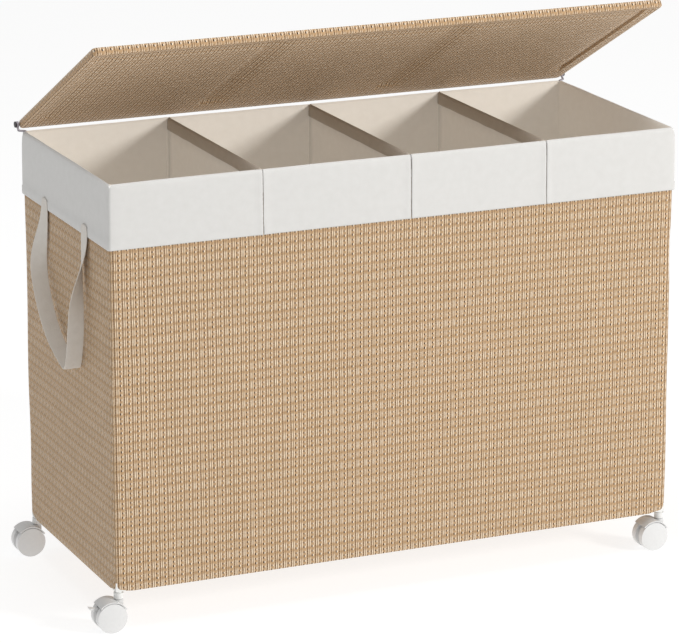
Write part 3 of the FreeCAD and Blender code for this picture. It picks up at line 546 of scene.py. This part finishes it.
for number, x in enumerate(linerSet["dividers"], start=1):
    bm = bmesh.new()
    hem = chain(bm, [(x + dx, -hemEnd, rimZ - drop) for dx, drop in hemSet["profile"]])
    run(bm, hem, 2 * hemEnd, 40, 1)
    outwards(bm)
    ripple(bm, hemSet["slack"], hemSet["slackWave"], hemSet["slackSeed"] + number, hemSlack)
    mapCloth(bm)
    # the hem takes the darker cloth of painted shade
    makePiece(f"dividerHem{number}", bm, [shadedHemCloth], "cabinet", solid=hemSet["cloth"], offset=0.0)
    bm = bmesh.new()
    made = bmesh.ops.create_circle(bm, cap_ends=False, radius=hemSet["seamRadius"], segments=8)["verts"]
    bmesh.ops.translate(bm, vec=(x - hemSet["seamLeft"], inY - hemSet["seamIn"], floorZ), verts=made)
    run(bm, bm.edges[:], rimZ - hemSet["seamTop"] - floorZ, 30, 2)
    outwards(bm)
    mapCloth(bm)
    # the seam takes the glowing pocket cloth and shows as a bright line: painted light
    makePiece(f"cornerSeam{number}", bm, [glowingLitLinerCloth], "cabinet")
print("divider hems made")

# padded lid: three boards sewn into a woven envelope round a wire frame. Closed, it lies level in front of the pivot
lidSet = {
    "pivot": (0, 0.1825, 0.631), "open": 27.5, "half": 0.424, "front": 0.352, "back": 0.0055, "thick": 0.011,
    "corner": 0.007, "rimRound": 0.003, "grooves": ((-0.169, -0.133), (0.106, 0.142)), "rimKeep": 0.004,
    "cutX": 0.0085, "cutsX": 99, "cutsY": 40, "grooveCuts": (-0.002, -0.001, 0.0, 0.001, 0.002),
    "slitCuts": (0.0180, 0.0190, 0.0200, 0.0206, 0.0212), "boardFrontEdge": (0.016, 0.022),
    "boardBackEdge": (0.038, 0.05), "topShare": 0.35, "waveUnder": 0.0006, "waveUnderScale": 40,
    "waveTop": 0.0005, "waveTopScale": 25, "waveFade": (0.01, 0.03),
}
# hollows of the underside: how deep, where they begin and where they end, from the edge that they follow
hollows = {
    "left": (0.0022, (0.014, 0.024), (0.026, 0.042)),
    "right": (0.0035, (0.0185, 0.0200), (0.0202, 0.034)),
    "front": (0.0018, (0.006, 0.014), (0.02, 0.04)),
}
grooveDepth, grooveLip, grooveSlope = 0.0042, (-0.0015, 0.001), (0.016, 0.006)


def hollow(distance, depth, begin, end):
    return depth * softStep(*begin, distance) * (1 - softStep(*end, distance))


def underside(x, y):
    # how far the cloth is drawn up at a point of the closed lid's underside
    fromFront = lidSet["front"] + y
    inBoard = softStep(*lidSet["boardFrontEdge"], fromFront) * softStep(*lidSet["boardBackEdge"], -y)
    depth = sum(hollow(x, grooveDepth, (start + grooveLip[0], start + grooveLip[1]),
                       (start + grooveSlope[0], stop + grooveSlope[1])) for start, stop in lidSet["grooves"])
    depth += hollow(lidSet["half"] + x, *hollows["left"]) + hollow(lidSet["half"] - x, *hollows["right"])
    return depth * inBoard + hollow(fromFront, *hollows["front"])


bm = bmesh.new()
length = lidSet["front"] + lidSet["back"]
made = bmesh.ops.create_grid(bm, x_segments=1, y_segments=1, size=1)["verts"]
bmesh.ops.scale(bm, vec=(lidSet["half"], length / 2, 1), verts=made)
bmesh.ops.translate(bm, vec=(0, lidSet["back"] - length / 2, -lidSet["thick"] / 2), verts=made)
bmesh.ops.bevel(bm, geom=made, offset=lidSet["corner"], segments=3, profile=0.5, affect="VERTICES", material=-1)
made = bmesh.ops.extrude_face_region(bm, geom=bm.faces[:])
bmesh.ops.translate(bm, vec=(0, 0, lidSet["thick"]), verts=pickNew(made, bmesh.types.BMVert))
bmesh.ops.recalc_face_normals(bm, faces=bm.faces[:])
rims = [e for e in bm.edges if abs(e.verts[0].co.z - e.verts[1].co.z) < 1e-6]
bmesh.ops.bevel(bm, geom=rims, offset=lidSet["rimRound"], segments=3, profile=0.5, affect="EDGES", material=-1)
cuts = [n * lidSet["cutX"] - lidSet["half"] for n in range(1, lidSet["cutsX"] + 1)]
cuts += [start + d for start, _ in lidSet["grooves"] for d in lidSet["grooveCuts"]]
cuts += [lidSet["half"] - d for d in lidSet["slitCuts"]]
for x in cuts:
    cutPlane(bm, (x, 0, 0), (1, 0, 0))
for n in range(1, lidSet["cutsY"]):
    cutPlane(bm, (0, lidSet["back"] - n * length / lidSet["cutsY"], 0), (0, 1, 0))
for v in bm.verts:
    edge = min(lidSet["half"] - abs(v.co.x), lidSet["front"] + v.co.y, lidSet["back"] - v.co.y)
    if edge > lidSet["rimKeep"]:
        drawn, fade = underside(v.co.x, v.co.y), softStep(*lidSet["waveFade"], edge)
        if v.co.z < 0:
            v.co.z += drawn + lidSet["waveUnder"] * noise.noise(v.co * lidSet["waveUnderScale"]) * fade
        else:
            wave = lidSet["waveTop"] * noise.noise(v.co * lidSet["waveTopScale"]) * fade
            v.co.z -= lidSet["topShare"] * drawn + wave
mapCloth(bm)
bm.transform(Matrix.Translation(lidSet["pivot"]) @ Matrix.Rotation(math.radians(-lidSet["open"]), 4, "X"))
makePiece("lidCover", bm, [weave], "lid", ["lid_cover_top", "lid_cover_underside"], sharp=40)
print("lid made")

# webbing handles, sewn on flat under the cuff and turned edge-on round the fold
strapSet = {
    "width": 0.024, "halfThick": 0.00064, "wall": 0.4246, "stand": 0.0012, "sag": 0.003, "hinge": 0.425,
    "bendTop": 0.536, "bendFoot": 0.516,
    # section: share of the half width and of the half thickness, with a raised middle between the edges
    "section": ((-1, -1), (-0.92, -1), (-0.85, -1.25), (0.85, -1.25), (0.92, -1), (1, -1),
                (1, 1), (0.92, 1), (0.85, 1.25), (-0.85, 1.25), (-0.92, 1), (-1, 1)),
}
# along the strap: distance back from the middle, height, how far the band has turned edge-on
strapPath = [
    (-0.085, 0.552, 0), (-0.085, 0.530, 0), (-0.0845, 0.510, 0.08), (-0.083, 0.488, 0.3), (-0.082, 0.466, 0.55),
    (-0.081, 0.445, 0.8), (-0.079, 0.420, 0.96), (-0.076, 0.395, 1), (-0.070, 0.370, 1), (-0.0635, 0.352, 1),
    (-0.058, 0.3435, 1), (-0.050, 0.3455, 1), (-0.030, 0.352, 1), (0.000, 0.364, 1), (0.022, 0.378, 1),
    (0.041, 0.397, 1), (0.057, 0.419, 1), (0.069, 0.442, 0.95), (0.076, 0.462, 0.75), (0.0775, 0.484, 0.45),
    (0.077, 0.506, 0.15), (0.076, 0.530, 0), (0.076, 0.552, 0),
]


def strap(name, side, body):
    bm = bmesh.new()
    ring = None
    reach = strapSet["width"] / 2
    for n, (y, z, turned) in enumerate(strapPath):
        before, after = strapPath[max(n - 1, 0)], strapPath[min(n + 1, len(strapPath) - 1)]
        heading = Vector((0, after[0] - before[0], after[1] - before[1])).normalized()
        flat = Vector((0, -heading.z, heading.y))  # lies on the end panel, across the strap
        if flat.y < 0:
            flat.negate()
        if y < 0:  # the band turns the same way round at both legs
            flat.negate()
        angle = turned * math.pi / 2
        across = Vector((side, 0, 0)) * math.sin(angle) + flat * math.cos(angle)
        through = across.cross(heading).normalized()
        out = strapSet["wall"] + strapSet["stand"] + reach * math.sin(angle)
        centre = Vector((side * out, y, z - strapSet["sag"] * turned))
        points = [centre + across * u * reach + through * w * strapSet["halfThick"] for u, w in strapSet["section"]]
        edges = chain(bm, points)
        edges.append(bm.edges.new((edges[-1].verts[1], edges[0].verts[0])))
        if ring:
            bmesh.ops.bridge_loops(bm, edges=ring + edges)
        ring = edges
    bmesh.ops.holes_fill(bm, edges=bm.edges[:], sides=len(strapSet["section"]))
    outwards(bm)
    mapCloth(bm)
    bend = [(side * strapSet["hinge"], 0, strapSet[end]) for end in ("bendTop", "bendFoot")]
    return makePiece(name, bm, [webbing], body, [body], level=1, bend=bend)


strapLeft = strap("strapLeft", -1, "handle_left")
strapRight = strap("strapRight", 1, "handle_right")
print("straps made")

# materials of the frame, the hinge and the casters, by how their names begin
finishes = {
    "corner_post": frameSteel, "rim_rod": frameSteel, "divider_rod": frameSteel, "bottom_rail": frameSteel,
    "top_corner_joints": joint, "bottom_joint": joint, "base_board": board, "lid_frame": frameSteel,
    "lid_board": board, "hinge_pins": pinSteel, "hinge_arm": hingeSteel, "caster_housing": plastic,
    "caster_axle": zincSteel, "caster_wheel": tyrePlastic, "brake_lever": tyrePlastic, "caster_stems": zincSteel,
    "caster_washers": zincSteel,
}
for node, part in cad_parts.items():
    for start, material in finishes.items():
        if node.startswith(start):
            part.data.materials.clear()
            part.data.materials.append(material)
print("frame painted")

# cloth sizes before sewing, in metres
bagTall, pocketTall = bagHigh.z - bagLow.z, rimZ - floorZ
walls = [-outX, *linerSet["dividers"], outX]
for number, (left, right) in enumerate(zip(walls, walls[1:]), start=1):
    wide, tall = right - left, pocketTall + linerSet["cuffCut"]
    linerArea = 2 * wide * tall + 4 * inY * pocketTall + wide * 2 * inY
    if number in (1, 4):  # the end liners also fold over the ends of the box
        linerArea += 2 * outY * linerSet["cuffCut"]
